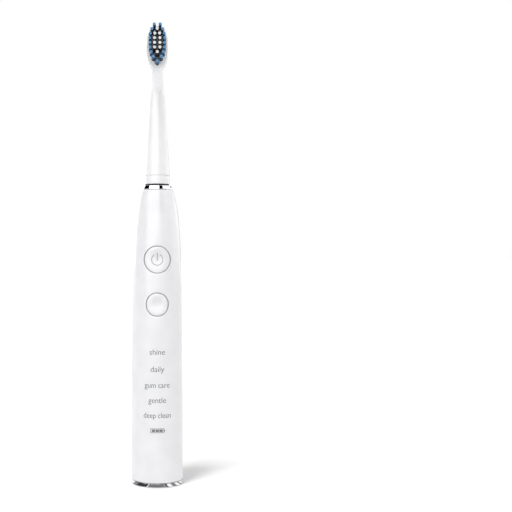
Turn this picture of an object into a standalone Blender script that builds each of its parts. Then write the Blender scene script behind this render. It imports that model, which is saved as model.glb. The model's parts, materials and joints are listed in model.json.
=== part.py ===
"""An electric toothbrush: a sealed sonic handle that stands on its chrome foot, and a pull-off brush head.

Metres, +Z up. The origin is the centre of the standing face, the buttons and the bristles face -Y,
and +X is to the right of someone who looks at the buttons.
"""

import math

import bmesh
import bpy
from mathutils import Matrix, Vector

# Fineness of round pieces
SHELL_SEGMENTS = 40
PIECE_SEGMENTS = 24
SMALL_SEGMENTS = 10
TUFT_SEGMENTS = 6
GAP = 0.0003

# Handle casing
HANDLE_BOTTOM = 0.0025
HANDLE_TOP = 0.1570
FOOT_RADIUS = 0.0137
TAPER = 0.0015
SHOULDER = 0.00375
WALL = 0.0015
NOSE_BORE = 0.0052
NOSE_SHOULDER = 0.1515

# Buttons: centre height, half width, half height and how square the outline is
POWER_BUTTON = (0.1198, 0.00710, 0.00735, 2.0)
MODE_BUTTON = (0.0962, 0.00600, 0.00630, 2.1)
BUTTON_GAP = 0.00022
BUTTON_DISH = 0.00045
BUTTON_FLANGE = 0.0008
BUTTON_TRAVEL = 0.0006

# Board, with the lights that shine through the casing
BOARD_FRONT = -0.0052
BOARD_BACK = -0.0042
BOARD_HALF_WIDTH = 0.0059
BOARD_BOTTOM = 0.0235
BOARD_TOP = 0.1248
SWITCH_FRONT = -0.0076
STEM_TIP = -0.0084
STEM_ROOT = -0.0070
MODE_LIGHTS = (0.0710, 0.0620, 0.0536, 0.0457, 0.0378)
CHARGE_LIGHT = 0.0301
SCREW_HEIGHTS = (0.1076, 0.0340)

# Battery and the chassis that carries it
BATTERY_RADIUS = 0.0070
BATTERY_BOTTOM = 0.0400
BATTERY_TOP = 0.0900
BATTERY_SET_BACK = 0.0033
CHASSIS_RADIUS = 0.0100
CHASSIS_FRONT = -0.0039
CHASSIS_BACK = 0.0060
CHASSIS_BOTTOM = 0.0190
CHASSIS_TOP = 0.1263

# Charging socket in the foot
SOCKET_RADIUS = 0.0047
SOCKET_TOP = 0.0160
CAP_UNDERSIDE = 0.0009

# Drive
MOTOR_RADIUS = 0.0065
MOTOR_BOTTOM = 0.1270
MOTOR_TOP = 0.1509
SHAFT_RADIUS = 0.0018
SHAFT_TOP = 0.1820

# Brush head
HEAD_BOTTOM = 0.1601
HEAD_RING_RADIUS = 0.0068
NECK_BOTTOM = 0.1648
NECK_RADIUS = 0.0067
NECK_SLOPE = 0.0595
FACET_START = 0.2070
FACET_SLOPE = 0.275
STEM_HALF_WIDTH = 0.0031
STEM_TOP = 0.2220
PADDLE_CENTRE = 0.2333
PADDLE_HALF_WIDTH = 0.00605
PADDLE_HALF_HEIGHT = 0.0125
PADDLE_SQUARENESS = 2.3
PADDLE_FRONT = 0.0026
PADDLE_CROWN = 0.0033
PADDLE_BACK = 0.0024
PADDLE_WALL = 0.0008

# Tufts, by row from the tip down: half spacing of the outer pair, then of the inner pair
TUFT_ROWS = (
    (0.00150, None),
    (0.00275, 0.0),
    (0.00350, 0.00120),
    (0.00375, 0.00135),
    (0.00370, 0.00135),
    (0.00360, 0.00135),
    (0.00310, 0.0),
    (0.00205, None),
    (0.0, None),
)
TUFT_ROW_PITCH = 0.00233
TUFT_MIDDLE = 0.2339
OUTER_TUFT_RADIUS = 0.00075
INNER_TUFT_RADIUS = 0.00090
TUFT_HOLE_CLEARANCE = 0.00013
TUFT_TIP = -0.0128
TUFT_PLATE_FRONT = -0.00250
TUFT_PLATE_BACK = -0.00110
MELT_PAD_FRONT = -0.00095
MELT_PAD_BACK = -0.00045
POCKET_FLOOR = -0.0002

# Colour, roughness and metallic value of each material
LOOKS = {
    "white_plastic": ((0.86, 0.87, 0.88), 0.28, 0.0),
    "soft_white_rubber": ((0.84, 0.85, 0.86), 0.45, 0.0),
    "chrome": ((0.80, 0.81, 0.83), 0.07, 1.0),
    "grey_rubber": ((0.30, 0.31, 0.33), 0.70, 0.0),
    "grey_plastic": ((0.45, 0.47, 0.50), 0.50, 0.0),
    "black_plastic": ((0.03, 0.03, 0.035), 0.45, 0.0),
    "board_green": ((0.02, 0.16, 0.08), 0.45, 0.0),
    "copper": ((0.72, 0.35, 0.18), 0.35, 1.0),
    "nickel": ((0.62, 0.60, 0.55), 0.30, 1.0),
    "steel": ((0.55, 0.56, 0.58), 0.30, 1.0),
    "magnet": ((0.25, 0.25, 0.27), 0.35, 1.0),
    "brass": ((0.72, 0.55, 0.25), 0.30, 1.0),
    "battery_wrap": ((0.05, 0.22, 0.50), 0.40, 0.0),
    "light_lens": ((0.90, 0.92, 0.90), 0.20, 0.0),
    "foam": ((0.15, 0.15, 0.16), 0.90, 0.0),
    "red_wire": ((0.60, 0.05, 0.04), 0.40, 0.0),
    "blue_bristle": ((0.10, 0.35, 0.65), 0.40, 0.0),
    "white_bristle": ((0.88, 0.90, 0.92), 0.40, 0.0),
}


# ---------------------------------------------------------------- scene and objects


def clear_scene():
    for obj in list(bpy.data.objects):
        bpy.data.objects.remove(obj, do_unlink=True)


def look(name):
    """The material of this name, made the first time it is asked for."""
    existing = bpy.data.materials.get(name)
    if existing:
        return existing
    colour, roughness, metallic = LOOKS[name]
    material = bpy.data.materials.new(name)
    material.use_nodes = True
    shader = material.node_tree.nodes["Principled BSDF"]
    shader.inputs["Base Color"].default_value = (*colour, 1.0)
    shader.inputs["Roughness"].default_value = roughness
    shader.inputs["Metallic"].default_value = metallic
    material.diffuse_color = (*colour, 1.0)
    return material


def place(name, bm, origin=(0.0, 0.0, 0.0), parent=None):
    """Turns a bmesh in world coordinates into an object whose own origin is at the given point."""
    origin = Vector(origin)
    bmesh.ops.translate(bm, verts=bm.verts, vec=-origin)
    mesh = bpy.data.meshes.new(name)
    bm.to_mesh(mesh)
    bm.free()
    mesh.shade_smooth()
    mesh.set_sharp_from_angle(angle=math.radians(35))
    obj = bpy.data.objects.new(name, mesh)
    bpy.context.scene.collection.objects.link(obj)
    obj.location = origin
    if parent:
        obj.parent = parent
        obj.location = origin - parent.location
    return obj


def piece(name, bm, look_name, origin=(0.0, 0.0, 0.0), parent=None):
    obj = place(name, bm, origin, parent)
    obj.data.materials.append(look(look_name))
    return obj


def cutter(name, bm):
    obj = place(name, bm)
    obj.hide_render = True
    obj.display_type = "WIRE"
    return obj


def combine(target, operation, other):
    """Adds a Boolean: operation is DIFFERENCE, UNION or INTERSECT."""
    modifier = target.modifiers.new(f"{operation.lower()}_{other.name}", "BOOLEAN")
    modifier.operation = operation
    modifier.solver = "EXACT"
    modifier.object = other


def joint_empty(name, location):
    """The empty that stands on a joint's axis and carries the pieces that move with it."""
    empty = bpy.data.objects.new(name, None)
    empty.empty_display_size = 0.01
    bpy.context.scene.collection.objects.link(empty)
    empty.location = location
    return empty


# ---------------------------------------------------------------- basic shapes


def turned(outline, segments):
    """A solid turned about Z from a closed outline of (radius, height) points, which may touch the axis."""
    bm = bmesh.new()
    points = [bm.verts.new((radius, 0.0, height)) for radius, height in outline]
    edges = [bm.edges.new(pair) for pair in zip(points, points[1:] + points[:1])]
    bmesh.ops.spin(
        bm,
        geom=points + edges,
        cent=(0.0, 0.0, 0.0),
        axis=(0.0, 0.0, 1.0),
        angle=math.tau,
        steps=segments,
        use_merge=True,
    )
    bmesh.ops.remove_doubles(bm, verts=bm.verts, dist=1e-6)
    bmesh.ops.delete(bm, geom=[edge for edge in bm.edges if not edge.link_faces], context="EDGES")
    bmesh.ops.recalc_face_normals(bm, faces=bm.faces)
    return bm


def ring(inner, outer, bottom, top, segments=PIECE_SEGMENTS):
    """A plain turned ring, or a disc where the inner radius is 0."""
    return turned([(inner, bottom), (outer, bottom), (outer, top), (inner, top)], segments)


def prism(outline, start, end, axis):
    """An outline extruded from start to end along Y, from (x, z) points, or along Z, from (x, y) points."""
    bm = bmesh.new()
    if axis == "Y":
        corners = [bm.verts.new((x, start, z)) for x, z in outline]
        push = Vector((0.0, end - start, 0.0))
    else:
        corners = [bm.verts.new((x, y, start)) for x, y in outline]
        push = Vector((0.0, 0.0, end - start))
    face = bm.faces.new(corners)
    extruded = bmesh.ops.extrude_face_region(bm, geom=[face])
    moved = [item for item in extruded["geom"] if isinstance(item, bmesh.types.BMVert)]
    bmesh.ops.translate(bm, verts=moved, vec=push)
    bmesh.ops.recalc_face_normals(bm, faces=bm.faces)
    return bm


def box(low, high):
    size = Vector(high) - Vector(low)
    middle = (Vector(high) + Vector(low)) / 2
    bm = bmesh.new()
    bmesh.ops.create_cube(bm, size=1.0, matrix=Matrix.Translation(middle) @ Matrix.Diagonal((*size, 1.0)))
    return bm


def superellipse(half_width, half_height, centre, squareness, points):
    """Points round an oval: squareness 2 is an ellipse, and more fills its corners."""
    outline = []
    for i in range(points):
        angle = math.tau * i / points
        across = math.copysign(abs(math.cos(angle)) ** (2 / squareness), math.cos(angle))
        up = math.copysign(abs(math.sin(angle)) ** (2 / squareness), math.sin(angle))
        outline.append((centre[0] + half_width * across, centre[1] + half_height * up))
    return outline


def rods(places, radius, start, end, segments):
    """Separate round rods along Y, one at each (x, z), in one bmesh."""
    bm = bmesh.new()
    to_y = Matrix.Rotation(math.radians(90), 4, "X")
    for x, z in places:
        middle = Matrix.Translation((x, (start + end) / 2, z))
        bmesh.ops.create_cone(
            bm,
            cap_ends=True,
            segments=segments,
            radius1=radius,
            radius2=radius,
            depth=abs(end - start),
            matrix=middle @ to_y,
        )
    return bm


def arc(centre, half_width, half_height, start, end, steps):
    """Points on an elliptical arc about centre, from start to end in degrees."""
    angles = [math.radians(start + (end - start) * i / steps) for i in range(steps + 1)]
    return [(centre[0] + half_width * math.cos(a), centre[1] + half_height * math.sin(a)) for a in angles]


def wire(name, points, radius, look_name):
    """A round insulated wire on a smooth curve through the points."""
    curve = bpy.data.curves.new(name, "CURVE")
    curve.dimensions = "3D"
    curve.bevel_depth = radius
    curve.bevel_resolution = 1
    curve.use_fill_caps = True
    curve.resolution_u = 3
    spline = curve.splines.new("BEZIER")
    spline.bezier_points.add(len(points) - 1)
    for knot, point in zip(spline.bezier_points, points):
        knot.co = point
        knot.handle_left_type = "AUTO"
        knot.handle_right_type = "AUTO"
    obj = bpy.data.objects.new(name, curve)
    bpy.context.scene.collection.objects.link(obj)
    obj.data.materials.append(look(look_name))
    return obj


# ---------------------------------------------------------------- handle casing


def handle_radius(height):
    """The casing's outer radius: a slow taper, with a rounded shoulder towards the top."""
    part_way = height / HANDLE_TOP
    return FOOT_RADIUS - TAPER * part_way**2.5 - SHOULDER * part_way**12


def casing_heights(bottom, top, steps):
    """Heights from bottom to top that crowd together towards the shoulder."""
    return [bottom + (top - bottom) * math.sin(math.pi / 2 * i / steps) for i in range(steps + 1)]


def make_handle_shell():
    outside = [(handle_radius(z), z) for z in casing_heights(HANDLE_BOTTOM, HANDLE_TOP, 14)]
    inside = [(handle_radius(z) - WALL, z) for z in casing_heights(HANDLE_BOTTOM, NOSE_SHOULDER, 8)]
    nose = [(NOSE_BORE, HANDLE_TOP), (NOSE_BORE, NOSE_SHOULDER + 0.0011)]
    shell = piece("handle_shell", turned(outside + nose + inside[::-1], SHELL_SEGMENTS), "white_plastic")
    for name, button in (("power", POWER_BUTTON), ("mode", MODE_BUTTON)):
        hole = prism(button_outline(button, 0.0), -0.020, -0.003, "Y")
        combine(shell, "DIFFERENCE", cutter(f"{name}_button_hole", hole))


def make_collar_ring():
    top = HEAD_BOTTOM - 0.0004
    bottom = HANDLE_TOP + GAP
    outline = [
        (NOSE_BORE, bottom),
        (0.00810, bottom),
        (0.00820, bottom + 0.0002),
        (0.00780, bottom + 0.0012),
        (0.00715, top - 0.0003),
        (0.00690, top),
        (NOSE_BORE, top),
    ]
    piece("collar_ring", turned(outline, SHELL_SEGMENTS), "chrome", (0.0, 0.0, bottom))


def make_foot_ring():
    """The chrome ring that the brush stands on, rounded in at its foot."""
    top = HANDLE_BOTTOM - GAP
    rounding = arc((0.0127, 0.0010), 0.0010, 0.0010, -90, 0, 4)
    outline = [(0.0113, 0.0)] + rounding + [(FOOT_RADIUS, top - 0.0002), (0.0135, top), (0.0113, top)]
    piece("foot_ring", turned(outline, SHELL_SEGMENTS), "chrome")


def make_bottom_cap():
    """The plug that closes the casing, with the charging socket's blind well in its middle."""
    floor_top = 0.0031
    skirt_top = 0.0090
    outline = [
        (SOCKET_RADIUS, CAP_UNDERSIDE),
        (0.0110, CAP_UNDERSIDE),
        (0.0110, HANDLE_BOTTOM),
        (0.0118, HANDLE_BOTTOM),
        (0.0118, 0.0049),
        (0.0108, 0.0049),
        (0.0108, 0.0065),
        (0.0118, 0.0065),
        (0.0118, skirt_top),
        (0.0096, skirt_top),
        (0.0096, floor_top),
        (SOCKET_RADIUS + 0.0010, floor_top),
        (SOCKET_RADIUS + 0.0010, SOCKET_TOP + 0.0010),
        (0.0, SOCKET_TOP + 0.0010),
        (0.0, SOCKET_TOP),
        (SOCKET_RADIUS, SOCKET_TOP),
    ]
    piece("bottom_cap", turned(outline, PIECE_SEGMENTS), "white_plastic")
    seal = turned(arc((0.01145, 0.0057), 0.00055, 0.00055, 0, 315, 7), PIECE_SEGMENTS)
    piece("cap_seal", seal, "grey_rubber", (0.0, 0.0, 0.0057))


# ---------------------------------------------------------------- charging coil


def make_charging_coil():
    bottom, top, inner, outer = 0.0096, 0.0166, 0.0060, 0.0093
    spool = [
        (inner, bottom),
        (outer, bottom),
        (outer, bottom + 0.0007),
        (inner + 0.0007, bottom + 0.0007),
        (inner + 0.0007, top - 0.0007),
        (outer, top - 0.0007),
        (outer, top),
        (inner, top),
    ]
    piece("charge_bobbin", turned(spool, PIECE_SEGMENTS), "black_plastic", (0.0, 0.0, bottom))
    winding = ring(inner + 0.0010, outer - 0.0003, bottom + 0.0010, top - 0.0010)
    piece("charge_winding", winding, "copper", (0.0, 0.0, bottom))
    leads = ((-1, "charge_lead_left", "black_plastic"), (1, "charge_lead_right", "red_wire"))
    for side, name, colour in leads:
        route = [(side * 0.0025, -0.0101, 0.0125), (side * 0.0025, -0.0099, 0.0180)]
        route += [(side * 0.0025, -0.0078, 0.0220), (side * 0.0025, -0.0060, 0.0255)]
        wire(name, route, 0.0004, colour)


# ---------------------------------------------------------------- chassis, battery and board


def chassis_outline():
    """A circle cut flat at the front, where the board lies, and at the back."""
    low = math.degrees(math.asin(CHASSIS_FRONT / CHASSIS_RADIUS))
    high = math.degrees(math.asin(CHASSIS_BACK / CHASSIS_RADIUS))
    right = arc((0.0, 0.0), CHASSIS_RADIUS, CHASSIS_RADIUS, low, high, 5)
    return right + [(-x, y) for x, y in reversed(right)]


def make_chassis():
    chassis = piece("chassis", prism(chassis_outline(), CHASSIS_BOTTOM, CHASSIS_TOP, "Z"), "grey_plastic")
    bay_bottom = BATTERY_BOTTOM - 0.0015
    bay_top = BATTERY_TOP + 0.0035
    bay = superellipse(BATTERY_RADIUS + GAP, BATTERY_RADIUS + GAP, (0.0, BATTERY_SET_BACK), 2.0, 24)
    combine(chassis, "DIFFERENCE", cutter("battery_bay", prism(bay, bay_bottom, bay_top, "Z")))
    window = box((-0.0040, -0.0050, bay_bottom + 0.0001), (0.0040, 0.0, bay_top - 0.0001))
    combine(chassis, "DIFFERENCE", cutter("battery_window", window))
    pocket = box((-0.0055, 0.0010, BATTERY_TOP + 0.0080), (0.0055, 0.0100, CHASSIS_TOP - 0.0050))
    combine(chassis, "DIFFERENCE", cutter("chassis_pocket", pocket))
    screw_holes = rods([(0.0, z) for z in SCREW_HEIGHTS], 0.0010, -0.0060, 0.0001, SMALL_SEGMENTS)
    combine(chassis, "DIFFERENCE", cutter("chassis_screw_holes", screw_holes))


def make_battery():
    nub = 0.0008
    outline = [
        (0.0, BATTERY_BOTTOM),
        (BATTERY_RADIUS - 0.0004, BATTERY_BOTTOM),
        (BATTERY_RADIUS, BATTERY_BOTTOM + 0.0004),
        (BATTERY_RADIUS, BATTERY_TOP - 0.0004),
        (BATTERY_RADIUS - 0.0004, BATTERY_TOP),
        (0.0028, BATTERY_TOP),
        (0.0028, BATTERY_TOP + nub),
        (0.0, BATTERY_TOP + nub),
    ]
    cell = turned(outline, PIECE_SEGMENTS)
    bmesh.ops.translate(cell, verts=cell.verts, vec=(0.0, BATTERY_SET_BACK, 0.0))
    piece("battery", cell, "battery_wrap", (0.0, BATTERY_SET_BACK, BATTERY_BOTTOM))
    tab_heights = (
        ("battery_tab_top", BATTERY_TOP + nub + GAP),
        ("battery_tab_bottom", BATTERY_BOTTOM - 0.0006),
    )
    for name, height in tab_heights:
        strip = box((-0.0025, BOARD_BACK + 0.0002, height), (0.0025, 0.0055, height + 0.0003))
        piece(name, strip, "nickel", (0.0, 0.0, height))
    pad = ring(0.0, BATTERY_RADIUS - 0.0004, BATTERY_BOTTOM - 0.0013, BATTERY_BOTTOM - 0.0008, 24)
    bmesh.ops.translate(pad, verts=pad.verts, vec=(0.0, BATTERY_SET_BACK, 0.0))
    piece("battery_pad", pad, "foam", (0.0, BATTERY_SET_BACK, BATTERY_BOTTOM))


def make_circuit_board():
    low = (-BOARD_HALF_WIDTH, BOARD_FRONT, BOARD_BOTTOM)
    high = (BOARD_HALF_WIDTH, BOARD_BACK, BOARD_TOP)
    board = piece("circuit_board", box(low, high), "board_green", (0.0, BOARD_BACK, BOARD_BOTTOM))
    holes = rods([(0.0, z) for z in SCREW_HEIGHTS], 0.00095, -0.0070, -0.0030, SMALL_SEGMENTS)
    combine(board, "DIFFERENCE", cutter("board_screw_holes", holes))
    chip = on_board(0.0035, 0.0035, 0.0010, 0.0820)
    piece("microcontroller", chip, "black_plastic", (0.0, BOARD_FRONT, 0.0820))


def on_board(half_width, half_height, thickness, height):
    """A flat component that stands on the front of the board."""
    back = BOARD_FRONT - 0.0001
    low = (-half_width, back - thickness, height - half_height)
    return box(low, (half_width, back, height + half_height))


def make_lights():
    for number, height in enumerate(MODE_LIGHTS, start=1):
        led = on_board(0.0010, 0.0006, 0.0008, height)
        piece(f"mode_led_{number}", led, "light_lens", (0.0, BOARD_FRONT, height))
    led = on_board(0.0010, 0.0006, 0.0008, CHARGE_LIGHT)
    piece("charge_led", led, "light_lens", (0.0, BOARD_FRONT, CHARGE_LIGHT))


def make_light_box():
    """The white block with one cell for each light, shaped to the inside of the casing."""
    low, high, back = 0.0270, 0.0755, -0.0066
    block = piece("light_box", box((-0.0042, -0.0130, low), (0.0042, back, high)), "white_plastic")
    skin = casing_band(low - 0.001, high + 0.001, WALL + GAP, None, 4)
    combine(block, "INTERSECT", cutter("light_box_skin", skin))
    for number, height in enumerate((*MODE_LIGHTS, CHARGE_LIGHT)):
        cell = box((-0.0032, -0.0102, height - 0.0026), (0.0032, back + 0.001, height + 0.0026))
        combine(block, "DIFFERENCE", cutter(f"light_cell_{number}", cell))


def make_board_screws():
    head_radius, head_height, shank_radius, length = 0.0015, 0.0006, 0.0007, 0.0046
    outline = [
        (0.0, 0.0),
        (head_radius, 0.0),
        (head_radius, -head_height),
        (shank_radius, -head_height),
        (shank_radius, -length),
        (0.0, -length),
    ]
    for name, height in zip(("board_screw_upper", "board_screw_lower"), SCREW_HEIGHTS):
        screw = piece(name, turned(outline, SMALL_SEGMENTS), "steel")
        screw.location = (0.0, BOARD_FRONT - 0.0002 - head_height, height)
        screw.rotation_euler = (math.radians(90), 0.0, 0.0)


# ---------------------------------------------------------------- buttons and switches


def button_outline(button, grow):
    height, half_width, half_height, squareness = button
    return superellipse(half_width + grow, half_height + grow, (0.0, height), squareness, 36)


def casing_band(bottom, top, depth_outside, depth_inside, steps, dish=0.0):
    """A turned band that follows the casing, between two depths under its outer surface.

    Without an inner depth it is solid. A dish hollows its outside between bottom and top.
    """
    heights = [bottom + (top - bottom) * i / steps for i in range(steps + 1)]
    outside = []
    for i, z in enumerate(heights):
        hollow = dish * (1 - (2 * i / steps - 1) ** 2)
        outside.append((handle_radius(z) - depth_outside - hollow, z))
    if depth_inside is None:
        inside = [(0.0, bottom), (0.0, top)]
    else:
        inside = [(handle_radius(z) - depth_inside, z) for z in heights]
    return turned(outside + inside[::-1], SHELL_SEGMENTS)


def make_button(name, button):
    """A dished cap, a flange that keeps it inside the casing, and a post that meets its switch."""
    centre, _, half_height, _ = button
    slide = joint_empty(f"{name}_slide", (0.0, -handle_radius(centre), centre))
    origin = slide.location.copy()
    plug = prism(button_outline(button, -BUTTON_GAP), -0.020, -0.003, "Y")
    cap = piece(name, plug, "soft_white_rubber", origin, slide)
    low, high = centre - half_height, centre + half_height
    skin = casing_band(low, high, 0.0, WALL + 0.0009, 8, BUTTON_DISH)
    combine(cap, "INTERSECT", cutter(f"{name}_skin", skin))
    wide_outline = button_outline(button, BUTTON_FLANGE)
    flange = cutter(f"{name}_flange", prism(wide_outline, -0.020, BOARD_FRONT, "Y"))
    behind = casing_band(low - 0.002, high + 0.002, WALL + GAP, WALL + 0.0013, 2)
    combine(flange, "INTERSECT", cutter(f"{name}_flange_skin", behind))
    combine(cap, "UNION", flange)
    post_start = 0.0005 - (handle_radius(centre) - WALL - 0.0009)
    post = rods([(0.0, centre)], 0.0013, post_start - 0.0005, STEM_TIP - 0.0001, SMALL_SEGMENTS)
    combine(cap, "UNION", cutter(f"{name}_post", post))


def make_switch(name, height):
    """A press switch: its body on the board, and the stem that the button pushes into it."""
    half = 0.0030
    back = BOARD_FRONT - 0.0001
    block = box((-half, SWITCH_FRONT, height - half), (half, back, height + half))
    body = piece(f"{name}_switch_body", block, "black_plastic")
    bore_end = STEM_ROOT + BUTTON_TRAVEL + 0.0002
    bore = rods([(0.0, height)], 0.00175, SWITCH_FRONT - 0.001, bore_end, SMALL_SEGMENTS)
    combine(body, "DIFFERENCE", cutter(f"{name}_switch_bore", bore))
    slide = joint_empty(f"{name}_stem_slide", (0.0, STEM_TIP, height))
    stem = rods([(0.0, height)], 0.0015, STEM_TIP, STEM_ROOT, SMALL_SEGMENTS)
    piece(f"{name}_switch_stem", stem, "grey_plastic", slide.location.copy(), slide)


def make_button_gasket():
    """The rubber seal that lies inside the casing round both button flanges."""
    low = MODE_BUTTON[0] - 0.0095
    high = POWER_BUTTON[0] + 0.0089
    sheet = box((-0.0093, -0.0200, low), (0.0093, -0.0043, high))
    gasket = piece("button_gasket", sheet, "grey_rubber")
    band = casing_band(low - 0.001, high + 0.001, WALL + GAP, WALL + 0.0011, 4)
    combine(gasket, "INTERSECT", cutter("gasket_skin", band))
    for name, button in (("power", POWER_BUTTON), ("mode", MODE_BUTTON)):
        hole = prism(button_outline(button, BUTTON_FLANGE + 0.00035), -0.021, -0.003, "Y")
        combine(gasket, "DIFFERENCE", cutter(f"gasket_{name}_hole", hole))


# ---------------------------------------------------------------- drive


def make_motor():
    case_bottom = MOTOR_BOTTOM + 0.0014
    case_top = MOTOR_TOP - 0.0015
    piece("motor_case", ring(MOTOR_RADIUS - 0.0006, MOTOR_RADIUS, case_bottom, case_top), "steel")
    rear_cap = ring(0.0029, MOTOR_RADIUS, MOTOR_BOTTOM, MOTOR_BOTTOM + 0.0011)
    piece("motor_rear_cap", rear_cap, "black_plastic")
    piece("motor_front_cap", ring(0.0034, MOTOR_RADIUS, MOTOR_TOP - 0.0012, MOTOR_TOP), "steel")
    piece("rear_bearing", ring(0.0016, 0.0026, MOTOR_BOTTOM - 0.0001, MOTOR_BOTTOM + 0.0024), "brass")
    piece("front_bearing", ring(0.00205, 0.0031, MOTOR_TOP - 0.0039, MOTOR_TOP + 0.0003), "brass")
    piece("stator_winding", ring(0.0043, 0.0056, MOTOR_BOTTOM + 0.0050, MOTOR_BOTTOM + 0.0160), "copper")
    piece("lower_damper", ring(0.0068, 0.0104, 0.1292, 0.1318), "grey_rubber")
    piece("upper_damper", ring(0.0068, 0.0086, 0.1455, 0.1485), "grey_rubber")
    leads = ((-1, "motor_lead_left", "black_plastic"), (1, "motor_lead_right", "red_wire"))
    for side, name, colour in leads:
        route = [(side * 0.0047, -0.0058, 0.1232), (side * 0.0047, -0.0060, 0.1248)]
        route += [(side * 0.0044, -0.0052, 0.1263)]
        wire(name, route, 0.00035, colour)


def make_return_spring():
    """The flat steel spring that brings the shaft back to the middle of its swing."""
    bottom = MOTOR_BOTTOM + 0.0176
    spring = piece("return_spring", ring(0.0023, 0.0055, bottom, bottom + 0.0006), "steel")
    slots = bmesh.new()
    for i in range(3):
        turn = Matrix.Rotation(math.tau * i / 3, 4, "Z")
        slot = Matrix.Translation((0.0039, 0.0, bottom)) @ Matrix.Diagonal((0.0009, 0.0040, 0.0030, 1.0))
        bmesh.ops.create_cube(slots, size=1.0, matrix=turn @ slot)
    combine(spring, "DIFFERENCE", cutter("spring_slots", slots))


def make_nose_seal():
    top = HEAD_BOTTOM - 0.0003
    outline = [
        (0.00215, 0.1565),
        (0.0039, 0.1552),
        (0.0039, 0.1516),
        (0.0049, 0.1516),
        (0.0049, top - 0.0016),
        (0.0034, top),
        (0.00215, top),
    ]
    piece("nose_seal", turned(outline, PIECE_SEGMENTS), "grey_rubber")


def make_drive_shaft(pivot):
    """The shaft that swings a few degrees each way, with a flat that keys the brush head, and magnet."""
    journal_top = MOTOR_BOTTOM + 0.0030
    outline = [
        (0.0, MOTOR_BOTTOM + 0.0002),
        (0.0013, MOTOR_BOTTOM + 0.0002),
        (0.0013, journal_top),
        (SHAFT_RADIUS, journal_top),
        (SHAFT_RADIUS, SHAFT_TOP - 0.0005),
        (SHAFT_RADIUS - 0.0005, SHAFT_TOP),
        (0.0, SHAFT_TOP),
    ]
    shaft = piece("drive_shaft", turned(outline, 24), "steel", pivot.location.copy(), pivot)
    flat = box((-0.0030, -0.0030, 0.1680), (0.0030, -0.0012, SHAFT_TOP + 0.001))
    combine(shaft, "DIFFERENCE", cutter("shaft_flat", flat))
    magnet = ring(SHAFT_RADIUS + 0.0003, 0.0039, MOTOR_BOTTOM + 0.0050, MOTOR_BOTTOM + 0.0160)
    piece("rotor_magnet", magnet, "magnet", pivot.location.copy(), pivot)


# ---------------------------------------------------------------- brush head


def smoothstep(low, high, value):
    part_way = min(max((value - low) / (high - low), 0.0), 1.0)
    return part_way * part_way * (3 - 2 * part_way)


def mix(first, second, part_way):
    return first + (second - first) * part_way


def neck_cone(height):
    return NECK_RADIUS - NECK_SLOPE * (height - NECK_BOTTOM)


def flattening(height):
    """0 on the round neck, 1 on the slim flat-fronted stem above it."""
    return smoothstep(0.2040, 0.2115, height)


def head_half_width(height):
    stem = STEM_HALF_WIDTH + 0.042 * (STEM_TOP - height)
    from_middle = min(abs(height - PADDLE_CENTRE) / PADDLE_HALF_HEIGHT, 1.0)
    paddle = PADDLE_HALF_WIDTH * (1 - from_middle**PADDLE_SQUARENESS) ** (1 / PADDLE_SQUARENESS)
    if height > PADDLE_CENTRE:
        return paddle
    return max(mix(neck_cone(height), stem, flattening(height)), paddle)


def facet_depth(height):
    """How far the flat front stands before the axis: it leans in from the cone, then runs straight up."""
    leaning = neck_cone(FACET_START) - FACET_SLOPE * (height - FACET_START)
    return max(PADDLE_FRONT, leaning)


def head_section(height, points):
    """One level outline of the head, as corners: an oval with a deeper back, cut flat at the front."""
    half_width = head_half_width(height)
    thinning = (1 - max(0.0, (height - 0.2360) / 0.0098) ** 4) ** 0.25
    front = max(neck_cone(height), PADDLE_CROWN) * thinning
    back = mix(neck_cone(height), PADDLE_BACK, smoothstep(0.1950, 0.2320, height)) * thinning
    squarer = smoothstep(0.2060, 0.2260, height)
    corners = []
    for i in range(points):
        angle = math.tau * (i + 0.5) / points
        facing_front = math.sin(angle) < 0
        squareness = mix(2.0, 4.0 if facing_front else 2.6, squarer)
        across = math.copysign(abs(math.cos(angle)) ** (2 / squareness), math.cos(angle))
        out = abs(math.sin(angle)) ** (2 / squareness)
        if facing_front:
            depth = -min(front * out, facet_depth(height) * thinning)
        else:
            depth = back * out
        corners.append((half_width * across, depth, height))
    return corners


def lofted(sections):
    """A closed solid through level outlines that all have the same number of corners."""
    bm = bmesh.new()
    rings = [[bm.verts.new(corner) for corner in section] for section in sections]
    for lower, upper in zip(rings, rings[1:]):
        for i in range(len(lower)):
            j = (i + 1) % len(lower)
            bm.faces.new((lower[i], lower[j], upper[j], upper[i]))
    bm.faces.new(rings[0][::-1])
    bm.faces.new(rings[-1])
    bmesh.ops.recalc_face_normals(bm, faces=bm.faces)
    return bm


def paddle_outline(inset, points):
    """The paddle's front outline, set in from its edge."""
    middle = PADDLE_CENTRE + 0.0004
    half_height = PADDLE_HALF_HEIGHT - 0.0004 - inset
    return superellipse(PADDLE_HALF_WIDTH - inset, half_height, (0.0, middle), PADDLE_SQUARENESS, points)


def make_neck_shell(mount):
    neck = [mix(NECK_BOTTOM, 0.2040, i / 3) for i in range(4)]
    ramp = [mix(0.2040, 0.2130, i / 5) for i in range(1, 6)]
    top = PADDLE_CENTRE + PADDLE_HALF_HEIGHT
    stem = [0.2170, 0.2205]
    oval = [mix(0.2225, top - 0.0001, math.sin(math.pi / 2 * i / 12)) for i in range(13)]
    sections = [head_section(height, 24) for height in neck + ramp + stem + oval]
    shell = piece("neck_shell", lofted(sections), "white_plastic", (0.0, 0.0, NECK_BOTTOM), mount)
    hollow = [(0.0, NECK_BOTTOM - 0.001), (0.00545, NECK_BOTTOM - 0.001), (0.0042, 0.1875), (0.0, 0.1900)]
    combine(shell, "DIFFERENCE", cutter("neck_hollow", turned(hollow, 24)))
    pocket = prism(paddle_outline(PADDLE_WALL, 32), -0.0100, POCKET_FLOOR, "Y")
    combine(shell, "DIFFERENCE", cutter("tuft_pocket", pocket))


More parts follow.
